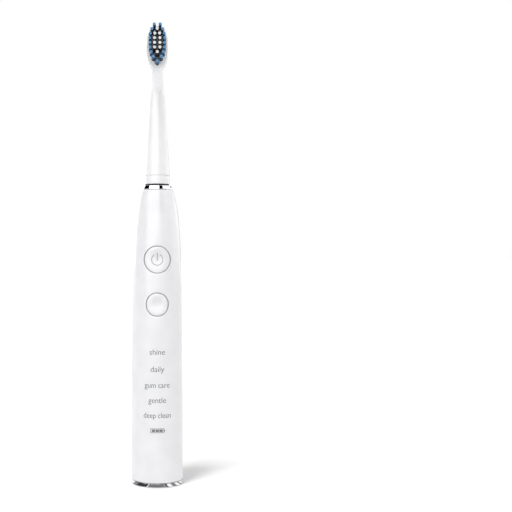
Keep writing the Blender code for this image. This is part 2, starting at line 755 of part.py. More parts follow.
def make_head_fittings(mount):
    """The ring at the foot of the head, and the sleeve and clip that grip the shaft."""
    outline = [
        (0.0052, HEAD_BOTTOM),
        (HEAD_RING_RADIUS - 0.00015, HEAD_BOTTOM),
        (HEAD_RING_RADIUS, HEAD_BOTTOM + 0.0003),
        (NECK_RADIUS, NECK_BOTTOM - GAP),
        (0.0050, NECK_BOTTOM - GAP),
        (0.0050, NECK_BOTTOM + 0.0020),
        (0.0044, NECK_BOTTOM + 0.0020),
        (0.0044, HEAD_BOTTOM + 0.0033),
        (0.0052, HEAD_BOTTOM + 0.0018),
    ]
    piece("head_ring", turned(outline, PIECE_SEGMENTS), "white_plastic", (0.0, 0.0, HEAD_BOTTOM), mount)
    sleeve = ring(0.0027, 0.0036, 0.1685, 0.1870, 24)
    piece("shaft_sleeve", sleeve, "grey_plastic", (0.0, 0.0, 0.1685), mount)
    spring = ring(0.00205, 0.0024, 0.1760, 0.1810, 24)
    clip = piece("shaft_clip", spring, "steel", (0.0, 0.0, 0.1760), mount)
    slit = box((-0.0010, 0.0, 0.1750), (0.0010, 0.0040, 0.1820))
    combine(clip, "DIFFERENCE", cutter("clip_slit", slit))


def tuft_places(outer):
    """The (x, z) of each outer tuft, or of each inner one."""
    middle_row = (len(TUFT_ROWS) - 1) / 2
    places = []
    for row, (outer_spacing, inner_spacing) in enumerate(TUFT_ROWS):
        height = TUFT_MIDDLE + (middle_row - row) * TUFT_ROW_PITCH
        spacing = outer_spacing if outer else inner_spacing
        if spacing is None:
            continue
        sides = (-1, 1) if spacing else (0,)
        places += [(side * spacing, height) for side in sides]
    return places


def inner_pad_outline(grow, points):
    return superellipse(0.0025 + grow, 0.0073 + grow, (0.0, TUFT_MIDDLE + 0.0007), 2.6, points)


def make_tufts(mount):
    """Two sets of tufts, each fused to its own pad behind the plate that spaces them."""
    hub = (0.0, TUFT_PLATE_BACK, TUFT_MIDDLE)
    plate_body = prism(paddle_outline(PADDLE_WALL + 0.00025, 32), TUFT_PLATE_FRONT, TUFT_PLATE_BACK, "Y")
    plate = piece("tuft_plate", plate_body, "white_plastic", hub, mount)
    outer_pad = prism(paddle_outline(PADDLE_WALL + 0.00035, 32), MELT_PAD_FRONT, MELT_PAD_BACK, "Y")
    inner_pad = prism(inner_pad_outline(0.0, 24), MELT_PAD_FRONT, MELT_PAD_BACK, "Y")
    outer = piece("outer_tufts", outer_pad, "blue_bristle", hub, mount)
    inner = piece("inner_tufts", inner_pad, "white_bristle", hub, mount)
    opening = prism(inner_pad_outline(0.00025, 24), MELT_PAD_FRONT - 0.001, MELT_PAD_BACK + 0.001, "Y")
    combine(outer, "DIFFERENCE", cutter("outer_pad_opening", opening))
    root = (MELT_PAD_FRONT + MELT_PAD_BACK) / 2
    for name, pad, radius in (("outer", outer, OUTER_TUFT_RADIUS), ("inner", inner, INNER_TUFT_RADIUS)):
        places = tuft_places(name == "outer")
        tufts = rods(places, radius, TUFT_TIP, root, TUFT_SEGMENTS)
        combine(pad, "UNION", cutter(f"{name}_tuft_rods", tufts))
        bore = radius + TUFT_HOLE_CLEARANCE
        start, end = TUFT_PLATE_FRONT - 0.001, TUFT_PLATE_BACK + 0.0001
        holes = rods(places, bore, start, end, TUFT_SEGMENTS)
        combine(plate, "DIFFERENCE", cutter(f"{name}_tuft_holes", holes))


# ---------------------------------------------------------------- the whole brush


def main():
    clear_scene()
    make_foot_ring()
    make_bottom_cap()
    make_charging_coil()
    make_handle_shell()
    make_collar_ring()
    make_chassis()
    make_battery()
    make_circuit_board()
    make_board_screws()
    make_lights()
    make_light_box()
    make_button_gasket()
    make_button("power_button", POWER_BUTTON)
    make_button("mode_button", MODE_BUTTON)
    make_switch("power", POWER_BUTTON[0])
    make_switch("mode", MODE_BUTTON[0])
    make_motor()
    make_return_spring()
    make_nose_seal()
    make_drive_shaft(joint_empty("drive_pivot", (0.0, 0.0, MOTOR_BOTTOM)))
    mount = joint_empty("brush_head_mount", (0.0, 0.0, HEAD_BOTTOM))
    make_neck_shell(mount)
    make_head_fittings(mount)
    make_tufts(mount)
    bpy.context.view_layer.update()


main()
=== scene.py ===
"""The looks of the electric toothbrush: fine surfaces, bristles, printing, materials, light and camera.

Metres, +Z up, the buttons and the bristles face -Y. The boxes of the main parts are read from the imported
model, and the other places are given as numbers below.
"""

import json
import math
import random

import bmesh
import bpy
from mathutils import Matrix, Vector


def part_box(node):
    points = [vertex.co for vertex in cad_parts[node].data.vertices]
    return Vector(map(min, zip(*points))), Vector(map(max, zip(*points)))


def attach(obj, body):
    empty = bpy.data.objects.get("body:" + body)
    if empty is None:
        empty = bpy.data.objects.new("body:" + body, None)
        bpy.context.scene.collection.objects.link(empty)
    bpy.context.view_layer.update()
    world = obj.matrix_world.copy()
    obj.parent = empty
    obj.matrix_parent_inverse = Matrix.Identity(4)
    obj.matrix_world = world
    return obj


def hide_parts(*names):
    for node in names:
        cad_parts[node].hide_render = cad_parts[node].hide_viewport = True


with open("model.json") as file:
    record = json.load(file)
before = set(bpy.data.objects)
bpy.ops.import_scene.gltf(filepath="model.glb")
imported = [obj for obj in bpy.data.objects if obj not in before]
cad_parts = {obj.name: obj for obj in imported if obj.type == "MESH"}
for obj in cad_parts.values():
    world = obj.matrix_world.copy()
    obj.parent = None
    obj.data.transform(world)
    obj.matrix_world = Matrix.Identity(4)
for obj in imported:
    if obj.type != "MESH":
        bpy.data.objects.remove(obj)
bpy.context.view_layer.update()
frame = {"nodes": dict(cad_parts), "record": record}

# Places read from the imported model
SHELL_LOW, SHELL_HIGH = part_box("handle_shell")
_, FOOT_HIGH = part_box("foot_ring")
COLLAR_LOW, COLLAR_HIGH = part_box("collar_ring")
CAP_LOW, CAP_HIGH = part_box("bottom_cap")
HEAD_RING_LOW, HEAD_RING_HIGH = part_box("head_ring")
NECK_LOW, NECK_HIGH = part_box("neck_shell")
PLATE_LOW, PLATE_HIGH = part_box("tuft_plate")
TUFTS_LOW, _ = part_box("outer_tufts")
_, SEAL_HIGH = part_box("nose_seal")

# Handle casing, as in the CAD
FOOT_RADIUS = FOOT_HIGH.x
TAPER = 0.0015
TAPER_POWER = 2.5
SHOULDER = 0.00375
SHOULDER_POWER = 12
WALL = 0.0015
NOSE_BORE = 0.0052
NOSE_SHOULDER = 0.1515
CASING_STEPS = 72
CASING_SEGMENTS = 160

# Buttons: centre height, half width, half height and how square the outline is
POWER_BUTTON = (0.1198, 0.00710, 0.00735, 2.0)
MODE_BUTTON = (0.0962, 0.00600, 0.00630, 2.1)
BUTTON_GAP = 0.00042
RIM_ROUNDING = 0.00020
BUTTON_DISH = 0.00082
BUTTON_RIM_START = 0.80
BUTTON_FLANGE = 0.0008
FLANGE_DEPTH = 0.0012
FLANGE_GAP = 0.00012
POST_RADIUS = 0.0013
POST_END = -0.0085
OUTLINE_POINTS = 144

# Brush head, as in the CAD
NECK_RADIUS = 0.0067
NECK_SLOPE = 0.0595
FACET_START = 0.2070
FACET_SLOPE = 0.275
FLATTENING = (0.2040, 0.2115)
STEM_HALF_WIDTH = 0.0031
STEM_SLOPE = 0.042
STEM_TOP = 0.2220
PADDLE_CENTRE = 0.2333
PADDLE_HALF_WIDTH = 0.00605
PADDLE_HALF_HEIGHT = 0.0125
PADDLE_SQUARENESS = 2.3
PADDLE_FRONT = 0.0026
PADDLE_CROWN = 0.0033
PADDLE_BACK = 0.0024
PADDLE_WALL = 0.0008
TOP_ROUNDING_START = 0.2360
TOP_ROUNDING_LENGTH = 0.0098
POCKET_FLOOR = -0.0002

# Tufts, by row from the tip down: half spacing of the outer pair, then of the inner pair
TUFT_ROWS = (
    (0.00150, None),
    (0.00275, 0.0),
    (0.00350, 0.00120),
    (0.00375, 0.00135),
    (0.00370, 0.00135),
    (0.00360, 0.00135),
    (0.00310, 0.0),
    (0.00205, None),
    (0.0, None),
)
TUFT_ROW_PITCH = 0.00233
TUFT_MIDDLE = 0.2339
TUFT_SPREAD = 1.045
OUTER_TUFT_RADIUS = 0.00084
INNER_TUFT_RADIUS = 0.00085
FILAMENT_RADIUS = 0.000120
FILAMENTS_PER_TUFT = 46
TUFT_HOLE_RADIUS = 0.00096
# Half sizes of the oval of painted shade on the tuft plate
TUFT_SHADOW_HALF_WIDTH = 0.0040
TUFT_SHADOW_HALF_HEIGHT = 0.0102

# Marks printed on the casing: each word, its height on the handle and its width
MODE_WORDS = (
    ("shine", 0.0710, 0.0080),
    ("daily", 0.0620, 0.0072),
    ("gum care", 0.0536, 0.0131),
    ("gentle", 0.0457, 0.0092),
    ("deep clean", 0.0378, 0.0142),
)
MARK_LIFT = 0.000015
MARK_DEPTH = 0.00003
LETTER_SIZE = 0.0041
LETTER_MIDDLE = 0.26
LETTER_EXTRUDE = 0.01
LETTER_WEIGHT = -0.003
BATTERY_MARK = 0.0301

# Camera
CAMERA_PLACE = (0.0, -0.5300, 0.1217)
CAMERA_LENS = 69.3
CAMERA_SHIFT = 0.1929

# Light
KEY_STRENGTH = 1.58
KEY_SIZE = 8.5
KEY_TOWARD = (-0.145, -0.225, 0.9636)


# ---------------------------------------------------------------- meshes


def finish_mesh(name, bm, material, sharp=35):
    """Makes an object of the bmesh, shaded smooth except across edges sharper than the angle."""
    bmesh.ops.recalc_face_normals(bm, faces=bm.faces)
    mesh = bpy.data.meshes.new(name)
    bm.to_mesh(mesh)
    bm.free()
    mesh.shade_smooth()
    mesh.set_sharp_from_angle(angle=math.radians(sharp))
    obj = bpy.data.objects.new(name, mesh)
    bpy.context.scene.collection.objects.link(obj)
    if material:
        mesh.materials.append(material)
    return obj


def lathe_mesh(outline, segments):
    """A closed outline of (radius, height) points turned about Z."""
    bm = bmesh.new()
    points = [bm.verts.new((radius, 0.0, height)) for radius, height in outline]
    edges = [bm.edges.new(pair) for pair in zip(points, points[1:] + points[:1])]
    bmesh.ops.spin(
        bm,
        geom=points + edges,
        cent=(0.0, 0.0, 0.0),
        axis=(0.0, 0.0, 1.0),
        angle=math.tau,
        steps=segments,
        use_merge=True,
    )
    bmesh.ops.remove_doubles(bm, verts=bm.verts, dist=1e-6)
    bmesh.ops.delete(bm, geom=[edge for edge in bm.edges if not edge.link_faces], context="EDGES")
    bmesh.ops.recalc_face_normals(bm, faces=bm.faces)
    return bm


def rounded(outline, radius, steps=3):
    """The closed outline with every sharp corner rounded, never by more than a third of its shorter side."""
    result = []
    for i, point in enumerate(outline):
        corner = Vector(point)
        before = Vector(outline[i - 1]) - corner
        after = Vector(outline[(i + 1) % len(outline)]) - corner
        if corner.x < 1e-7 or before.angle(after) > math.radians(150):
            result.append(tuple(corner))
            continue
        reach = min(radius, before.length / 3, after.length / 3)
        start = corner + before.normalized() * reach
        end = corner + after.normalized() * reach
        for step in range(steps + 1):
            t = step / steps
            result.append(tuple((1 - t) ** 2 * start + 2 * t * (1 - t) * corner + t**2 * end))
    return result


def grid_solid(rings):
    """A solid whose skin runs through rings of equal numbers of corners, closed by fans at its ends."""
    bm = bmesh.new()
    made = [[bm.verts.new(corner) for corner in ring] for ring in rings]
    count = len(made[0])
    for lower, upper in zip(made, made[1:]):
        for i in range(count):
            j = (i + 1) % count
            bm.faces.new((lower[i], lower[j], upper[j], upper[i]))
    for ring in (made[0], made[-1]):
        middle = bm.verts.new(sum((vert.co for vert in ring), Vector()) / count)
        for i in range(count):
            bm.faces.new((ring[i], ring[(i + 1) % count], middle))
    return bm


def apply_modifiers(obj, sharp=35):
    """Bakes the object's modifiers into its mesh, and shades it smooth again."""
    graph = bpy.context.evaluated_depsgraph_get()
    mesh = bpy.data.meshes.new_from_object(obj.evaluated_get(graph))
    obj.modifiers.clear()
    old = obj.data
    obj.data = mesh
    bpy.data.meshes.remove(old)
    mesh.shade_smooth()
    mesh.set_sharp_from_angle(angle=math.radians(sharp))


def subtract(obj, *cutters):
    """Cuts the cutters out of the object, and removes them."""
    for cutter in cutters:
        modifier = obj.modifiers.new(cutter.name, "BOOLEAN")
        modifier.operation = "DIFFERENCE"
        modifier.solver = "EXACT"
        modifier.object = cutter
    apply_modifiers(obj)
    for cutter in cutters:
        bpy.data.objects.remove(cutter)


def superellipse(half_width, half_height, centre, squareness, points):
    """Points round an oval: squareness 2 is an ellipse, and more fills its corners."""
    outline = []
    for i in range(points):
        angle = math.tau * i / points
        across = math.copysign(abs(math.cos(angle)) ** (2 / squareness), math.cos(angle))
        up = math.copysign(abs(math.sin(angle)) ** (2 / squareness), math.sin(angle))
        outline.append((centre[0] + half_width * across, centre[1] + half_height * up))
    return outline


def smoothstep(low, high, value):
    """0 up to the low value, 1 from the high one, and a smooth rise between."""
    part_way = min(max((value - low) / (high - low), 0.0), 1.0)
    return part_way * part_way * (3 - 2 * part_way)


def mix(first, second, part_way):
    return first + (second - first) * part_way


# ---------------------------------------------------------------- materials


def add_node(tree, kind, inputs=None, **settings):
    """Adds a node, with its settings, and with each input linked to a socket or set to a value."""
    made = tree.nodes.new(kind)
    for name, value in settings.items():
        setattr(made, name, value)
    for name, value in (inputs or {}).items():
        if isinstance(value, bpy.types.NodeSocket):
            tree.links.new(value, made.inputs[name])
        else:
            made.inputs[name].default_value = value
    return made


class Nodes:
    """Short calls for building one material's node tree."""

    def __init__(self, name, base, roughness, metallic=0.0):
        self.material = bpy.data.materials.new(name)
        self.material.use_nodes = True
        self.tree = self.material.node_tree
        self.shader = self.tree.nodes["Principled BSDF"]
        self.shader.inputs["Base Color"].default_value = (*base, 1.0)
        self.shader.inputs["Roughness"].default_value = roughness
        self.shader.inputs["Metallic"].default_value = metallic
        self.place = self.tree.nodes.new("ShaderNodeTexCoord").outputs["Object"]

    def coat(self, weight, roughness):
        self.shader.inputs["Coat Weight"].default_value = weight
        self.shader.inputs["Coat Roughness"].default_value = roughness

    def set_colour(self, colour):
        """Links a colour to the shader."""
        self.tree.links.new(colour, self.shader.inputs["Base Color"])

    def node(self, kind, inputs=None, **settings):
        return add_node(self.tree, kind, inputs, **settings)

    def noise(self, scale, detail=4.0, stretch=(1.0, 1.0, 1.0)):
        mapped = self.node("ShaderNodeMapping", {"Vector": self.place, "Scale": stretch})
        inputs = {"Vector": mapped.outputs[0], "Scale": scale, "Detail": detail}
        return self.node("ShaderNodeTexNoise", inputs).outputs["Fac"]

    def ramp(self, factor, *stops):
        """A colour ramp over (position, colour) stops."""
        made = self.node("ShaderNodeValToRGB", {"Fac": factor})
        elements = made.color_ramp.elements
        while len(elements) < len(stops):
            elements.new(1.0)
        for element, (position, colour) in zip(elements, stops):
            element.position = position
            element.color = (*colour, 1.0)
        return made.outputs["Color"]

    def colour_between(self, factor, first, second):
        """Mixes two colours by the factor, which is a noise that keeps near its middle."""
        self.set_colour(self.ramp(factor, (0.3, first), (0.7, second)))

    def roughness_between(self, factor, first, second):
        inputs = {"Value": factor, "From Min": 0.3, "From Max": 0.7, "To Min": first, "To Max": second}
        made = self.node("ShaderNodeMapRange", inputs)
        self.tree.links.new(made.outputs[0], self.shader.inputs["Roughness"])

    def bump(self, height, strength, distance):
        inputs = {"Height": height, "Strength": strength, "Distance": distance}
        made = self.node("ShaderNodeBump", inputs)
        self.tree.links.new(made.outputs[0], self.shader.inputs["Normal"])


def moulded_plastic(name, light, dark, roughness, coat=0.0):
    """Injection-moulded plastic: faint drifts of shade, uneven gloss and a very fine moulded texture."""
    nodes = Nodes(name, light, roughness)
    nodes.coat(coat, 0.12)
    nodes.colour_between(nodes.noise(90.0), dark, light)
    nodes.roughness_between(nodes.noise(700.0), roughness * 0.92, roughness * 1.08)
    nodes.bump(nodes.noise(9000.0, 2.0), 0.12, 0.00001)
    return nodes.material


def plate_with_painted_shade(name, rim, middle):
    """The tuft plate's plastic: white at its rim, with painted shade that darkens it to blue-grey between
    the tufts.
    """
    nodes = Nodes(name, rim, 0.35)
    split = nodes.node("ShaderNodeSeparateXYZ", {"Vector": nodes.place})
    above = {0: split.outputs["Z"], 1: TUFT_MIDDLE}
    level = nodes.node("ShaderNodeMath", above, operation="SUBTRACT").outputs[0]
    spot = nodes.node("ShaderNodeCombineXYZ", {"X": split.outputs["X"], "Z": level}).outputs[0]
    shrink = (1 / TUFT_SHADOW_HALF_WIDTH, 0.0, 1 / TUFT_SHADOW_HALF_HEIGHT)
    scaled = nodes.node("ShaderNodeVectorMath", {0: spot, 1: shrink}, operation="MULTIPLY").outputs[0]
    reach = nodes.node("ShaderNodeVectorMath", {0: scaled}, operation="LENGTH").outputs["Value"]
    # Painted shade: the oval over the tuft field is darkened where the tufts would shade the plate.
    nodes.set_colour(nodes.ramp(reach, (0.80, middle), (1.15, rim)))
    nodes.roughness_between(nodes.noise(700.0), 0.32, 0.38)
    return nodes.material


def rubber(name, light, dark, roughness=0.6):
    """Matt rubber or foam, uneven and finely grained."""
    nodes = Nodes(name, light, roughness)
    nodes.colour_between(nodes.noise(300.0), dark, light)
    nodes.roughness_between(nodes.noise(1500.0), roughness * 0.9, roughness * 1.1)
    nodes.bump(nodes.noise(12000.0, 3.0), 0.3, 0.00002)
    return nodes.material


def plated_metal(name, light, dark, roughness, brushed=0.0, stretch=(1.0, 1.0, 1.0)):
    """Metal with faint cloudiness in its polish, and fine lines where it is brushed or turned."""
    nodes = Nodes(name, light, roughness, 1.0)
    nodes.colour_between(nodes.noise(200.0), dark, light)
    nodes.roughness_between(nodes.noise(900.0), roughness * 0.85, roughness * 1.2)
    if brushed:
        nodes.bump(nodes.noise(3000.0, 3.0, stretch), brushed, 0.00001)
    return nodes.material


def bristle_with_painted_shade(name, root, middle, tip):
    """Nylon filament in its own colour only at its rounded end, with painted shade that darkens it down to
    its root.
    """
    nodes = Nodes(name, tip, 0.5)
    split = nodes.node("ShaderNodeSeparateXYZ", {"Vector": nodes.place})
    length = {"Value": split.outputs["Y"], "From Min": PLATE_LOW.y, "From Max": TUFTS_LOW.y}
    along = nodes.node("ShaderNodeMapRange", length).outputs[0]
    # Painted shade: the root and middle colours darken the filament below its tip, which alone keeps the
    # nylon's own colour.
    shade = nodes.ramp(along, (0.0, root), (0.945, middle), (0.970, tip))
    streaky = nodes.noise(5200.0, 2.0, (1.0, 0.02, 1.0))
    streaks = nodes.ramp(streaky, (0.3, (0.86, 0.86, 0.86)), (0.7, (1.0, 1.0, 1.0)))
    layers = {6: shade, 7: streaks, 0: 1.0}
    both = nodes.node("ShaderNodeMix", layers, data_type="RGBA", blend_type="MULTIPLY")
    nodes.set_colour(both.outputs[2])
    return nodes.material


def wound_copper(name):
    """Enamelled wire wound in close turns, seen as fine ridges round the coil."""
    nodes = Nodes(name, (0.70, 0.30, 0.14), 0.3, 1.0)
    nodes.colour_between(nodes.noise(600.0), (0.55, 0.20, 0.08), (0.80, 0.38, 0.18))
    turns = {"Vector": nodes.place, "Scale": 900.0}
    wave = nodes.node("ShaderNodeTexWave", turns, bands_direction="Z")
    nodes.bump(wave.outputs["Fac"], 0.7, 0.0001)
    return nodes.material


def board_surface(name):
    """Green solder mask with a faint pattern of copper tracks under it."""
    nodes = Nodes(name, (0.02, 0.16, 0.08), 0.35)
    tracks = {
        "Vector": nodes.place,
        "Scale": 420.0,
        "Mortar Size": 0.03,
        "Color1": (0.02, 0.17, 0.08, 1.0),
        "Color2": (0.02, 0.20, 0.10, 1.0),
        "Mortar": (0.05, 0.30, 0.15, 1.0),
    }
    bricks = nodes.node("ShaderNodeTexBrick", tracks)
    nodes.set_colour(bricks.outputs["Color"])
    nodes.bump(bricks.outputs["Fac"], 0.3, 0.00003)
    return nodes.material


def white_materials():
    """The white plastics of the handle, the buttons and the brush head."""
    white, shaded_white = (0.855, 0.853, 0.87), (0.802, 0.80, 0.82)
    head_white, shaded_head_white = (0.885, 0.884, 0.895), (0.85, 0.85, 0.862)
    return {
        "white_plastic": moulded_plastic("white_gloss_plastic", white, shaded_white, 0.30, 0.35),
        "soft_white_rubber": moulded_plastic("white_satin_button", white, shaded_white, 0.38, 0.15),
        "head_plastic": moulded_plastic("white_head_plastic", head_white, shaded_head_white, 0.30, 0.35),
        # The plate's blue-grey second colour is painted shade between the tufts.
        "tuft_plate": plate_with_painted_shade("tuft_plate_painted_shade", white, (0.09, 0.11, 0.14)),
    }


def bristle_materials():
    # Root, middle and tip colours: the darker root and middle are painted shade, the tip is the nylon's own
    # colour.
    blue = (0.002, 0.030, 0.080), (0.006, 0.090, 0.230), (0.160, 0.370, 0.630)
    white = (0.008, 0.009, 0.008), (0.025, 0.027, 0.025), (0.98, 0.98, 0.98)
    return {
        "blue_bristle": bristle_with_painted_shade("blue_nylon_painted_shade", *blue),
        "white_bristle": bristle_with_painted_shade("white_nylon_painted_shade", *white),
    }


def plain_materials():
    """Every other finish, as a kind of material and its settings, by slot."""
    rows = {
        "chrome": (plated_metal, "mirror_chrome", (0.86, 0.865, 0.88), (0.82, 0.825, 0.84), 0.045),
        "grey_rubber": (rubber, "grey_seal_rubber", (0.050, 0.052, 0.056), (0.035, 0.037, 0.040)),
        "grey_plastic": (moulded_plastic, "grey_frame_plastic", (0.34, 0.36, 0.39), (0.29, 0.31, 0.34), 0.5),
        "black_plastic": (
            moulded_plastic, "black_moulded_plastic", (0.03, 0.03, 0.034), (0.02, 0.02, 0.023), 0.45,
        ),
        "board_green": (board_surface, "green_circuit_board"),
        "copper": (wound_copper, "enamelled_copper_winding"),
        "nickel": (
            plated_metal, "nickel_strip",
            (0.60, 0.58, 0.53), (0.50, 0.48, 0.44), 0.3, 0.3, (1.0, 0.05, 1.0),
        ),
        "steel": (
            plated_metal, "turned_steel",
            (0.60, 0.61, 0.63), (0.50, 0.51, 0.53), 0.25, 0.35, (0.1, 0.1, 1.0),
        ),
        "magnet": (plated_metal, "plated_magnet", (0.28, 0.28, 0.30), (0.22, 0.22, 0.24), 0.3),
        "brass": (plated_metal, "sintered_brass", (0.66, 0.48, 0.20), (0.52, 0.37, 0.14), 0.35, 0.5),
        "battery_wrap": (
            moulded_plastic, "blue_battery_wrap", (0.04, 0.16, 0.42), (0.03, 0.13, 0.36), 0.3, 0.3,
        ),
        "light_lens": (
            moulded_plastic, "pale_lens_resin", (0.86, 0.85, 0.72), (0.80, 0.79, 0.64), 0.15, 0.5,
        ),
        "foam": (rubber, "black_foam", (0.05, 0.05, 0.055), (0.03, 0.03, 0.034), 0.9),
        "red_wire": (moulded_plastic, "red_wire_insulation", (0.55, 0.03, 0.02), (0.48, 0.02, 0.015), 0.4),
    }
    return {slot: kind(*settings) for slot, (kind, *settings) in rows.items()}


def printed_ink(name, shade):
    nodes = Nodes(name, (shade, shade, shade), 0.55)
    nodes.colour_between(nodes.noise(2500.0), (shade * 0.92,) * 3, (shade * 1.04,) * 3)
    return nodes.material


def dress_cad_nodes(materials):
    """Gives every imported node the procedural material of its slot."""
    for row in frame["record"]["subparts"]:
        slots = frame["nodes"][row["node"]].data.materials
        slots.clear()
        slots.append(materials[row["material_slot"]])


def add_piece(obj, body, slot, *replaced):
    """Parents the piece to the empty of the body it rides on, and hides the imported parts it stands for.
    The slot is not used.
    """
    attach(obj, body)
    if replaced:
        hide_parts(*replaced)


# ---------------------------------------------------------------- handle casing


def handle_radius(height):
    """The casing's outer radius: a slow taper, with a rounded shoulder towards the top."""
    part_way = height / SHELL_HIGH.z
    return FOOT_RADIUS - TAPER * part_way**TAPER_POWER - SHOULDER * part_way**SHOULDER_POWER


def skin_depth(x, z, under=0.0):
    """The y, at (x, z), of the casing's front surface or of a surface that far under it."""
    return -math.sqrt(max((handle_radius(z) - under) ** 2 - x * x, 0.0))


def casing_heights(bottom, top, steps):
    """Heights that come closer together towards the shoulder."""
    return [bottom + (top - bottom) * math.sin(math.pi / 2 * i / steps) for i in range(steps + 1)]


def button_outline(button, grow):
    height, half_width, half_height, squareness = button
    return superellipse(half_width + grow, half_height + grow, (0.0, height), squareness, OUTLINE_POINTS)


def hole_cutter(button):
    """A plug whose neck flares where it leaves the casing, so that it leaves a rounded rim."""
    inside, outside = 0.0060, -0.0040
    rings = []
    for depth, grow in ((inside, 0.0), (RIM_ROUNDING, 0.0)):
        rings.append([(x, skin_depth(x, z) + depth, z) for x, z in button_outline(button, grow)])
    for step in range(1, 6):
        angle = math.pi / 2 * step / 5
        grow = RIM_ROUNDING * (1 - math.cos(angle))
        depth = RIM_ROUNDING * (1 - math.sin(angle)) - 0.000002
        rings.append([(x, skin_depth(x, z) + depth, z) for x, z in button_outline(button, grow)])
    widest = button_outline(button, RIM_ROUNDING * 1.1)
    rings.append([(x, skin_depth(x, z) + outside, z) for x, z in widest])
    return finish_mesh("hole_cutter", grid_solid(rings), None)


def make_casing(materials):
    """The handle's one-piece shell: fine and round, with rounded rims to both button holes."""
    outside = [(handle_radius(z), z) for z in casing_heights(SHELL_LOW.z, SHELL_HIGH.z, CASING_STEPS)]
    edge = 0.00015
    outside[0] = (outside[0][0] - edge / 2, SHELL_LOW.z)
    outside.insert(1, (handle_radius(SHELL_LOW.z), SHELL_LOW.z + edge / 2))
    top_radius = outside[-1][0]
    outside[-1] = (top_radius, SHELL_HIGH.z - edge)
    outside.append((top_radius - edge, SHELL_HIGH.z))
    inside = [(handle_radius(z) - WALL, z) for z in casing_heights(SHELL_LOW.z, NOSE_SHOULDER, 20)]
    nose = [(NOSE_BORE, SHELL_HIGH.z), (NOSE_BORE, NOSE_SHOULDER + 0.0011)]
    turned = lathe_mesh(outside + nose + inside[::-1], CASING_SEGMENTS)
    casing = finish_mesh("handle_casing", turned, materials["white_plastic"])
    subtract(casing, hole_cutter(POWER_BUTTON), hole_cutter(MODE_BUTTON))
    add_piece(casing, "handle", "white_plastic", "handle_shell")


def face_sink(share):
    """How far the button's face lies under the casing's surface, at a share of the way out to its edge."""
    if share <= BUTTON_RIM_START:
        return BUTTON_DISH * (1 - smoothstep(0.15, 1.0, share / BUTTON_RIM_START))
    edge = (share - BUTTON_RIM_START) / (1 - BUTTON_RIM_START)
    return RIM_ROUNDING * 1.3 * (1 - math.sqrt(max(1 - edge**3, 0.0)))


def button_face_depth(button, x, z):
    """The y of the button's face at (x, z)."""
    height, half_width, half_height, squareness = button
    across = abs(x) / (half_width - BUTTON_GAP)
    up = abs(z - height) / (half_height - BUTTON_GAP)
    share = min((across**squareness + up**squareness) ** (1 / squareness), 1.0)
    return skin_depth(x, z) + face_sink(share)


def shrunk(outline, middle, share):
    """The outline drawn in towards its middle height."""
    return [(x * share, middle + (z - middle) * share) for x, z in outline]


def make_button_cap(name, button, materials):
    """A cap with a rounded rim and a soft dish, flush in its hole, with its flange and post behind it."""
    face_shares = [0.02 + 0.78 * i / 14 for i in range(15)] + [0.80 + 0.20 * i / 10 for i in range(1, 11)]
    back_shares = (0.8, 0.6, 0.4, 0.2, 0.02)
    edge = button_outline(button, -BUTTON_GAP)
    flange = button_outline(button, BUTTON_FLANGE)
    middle = button[0]
    front = WALL + FLANGE_GAP
    back = front + FLANGE_DEPTH
    rings = []
    for share in face_shares:
        rings.append([(x, skin_depth(x, z) + face_sink(share), z) for x, z in shrunk(edge, middle, share)])
    for under, outline in ((front, edge), (front, flange), (back, flange)):
        rings.append([(x, skin_depth(x, z, under), z) for x, z in outline])
    for share in back_shares:
        rings.append([(x, skin_depth(x, z, back), z) for x, z in shrunk(flange, middle, share)])
    bm = grid_solid(rings)
    post_start = skin_depth(0.0, middle, WALL + 0.0004)
    centre = Matrix.Translation((0.0, (post_start + POST_END) / 2, middle))
    bmesh.ops.create_cone(
        bm,
        cap_ends=True,
        segments=24,
        radius1=POST_RADIUS,
        radius2=POST_RADIUS,
        depth=POST_END - post_start,
        matrix=centre @ Matrix.Rotation(math.pi / 2, 4, "X"),
    )
    cap = finish_mesh(f"{name}_cap", bm, materials["soft_white_rubber"])
    add_piece(cap, name, "soft_white_rubber", name)


# ---------------------------------------------------------------- printed marks


def press_on(bm, depth_at):
    """Bends a flat mark, drawn in X and Z with its thickness in Y, onto a surface."""
    for vert in bm.verts:
        vert.co.y += depth_at(vert.co.x, vert.co.z) - MARK_LIFT
    return bm


def strip_solid(left, right):
    """A flat printed stroke between two lists of (x, z) points."""
    bm = bmesh.new()
    rows = []
    for (x0, z0), (x1, z1) in zip(left, right):
        corners = [(x0, 0.0, z0), (x1, 0.0, z1), (x1, MARK_DEPTH, z1), (x0, MARK_DEPTH, z0)]
        rows.append([bm.verts.new(corner) for corner in corners])
    for first, second in zip(rows, rows[1:]):
        for i in range(4):
            j = (i + 1) % 4
            bm.faces.new((first[i], first[j], second[j], second[i]))
    bm.faces.new(rows[0])
    bm.faces.new(rows[-1][::-1])
    return bm


def bar(left, right, bottom, top, steps=8):
    """A flat printed bar between two x and two z."""
    across = [mix(left, right, i / steps) for i in range(steps + 1)]
    return strip_solid([(x, bottom) for x in across], [(x, top) for x in across])


def power_symbol():
    """The standard power symbol: a ring open at the top, and a bar that stands in its opening."""
    radius, half_stroke, opening, middle = 0.00295, 0.00024, 31, POWER_BUTTON[0]
    bar_low, bar_high = middle - 0.0006, middle + 0.0036
    angles = [math.radians(opening + (360 - 2 * opening) * i / 60) for i in range(61)]
    inner, outer = [
        [(reach * math.sin(a), middle + reach * math.cos(a)) for a in angles]
        for reach in (radius - half_stroke, radius + half_stroke)
    ]
    return strip_solid(inner, outer), bar(-half_stroke, half_stroke, bar_low, bar_high, 2)


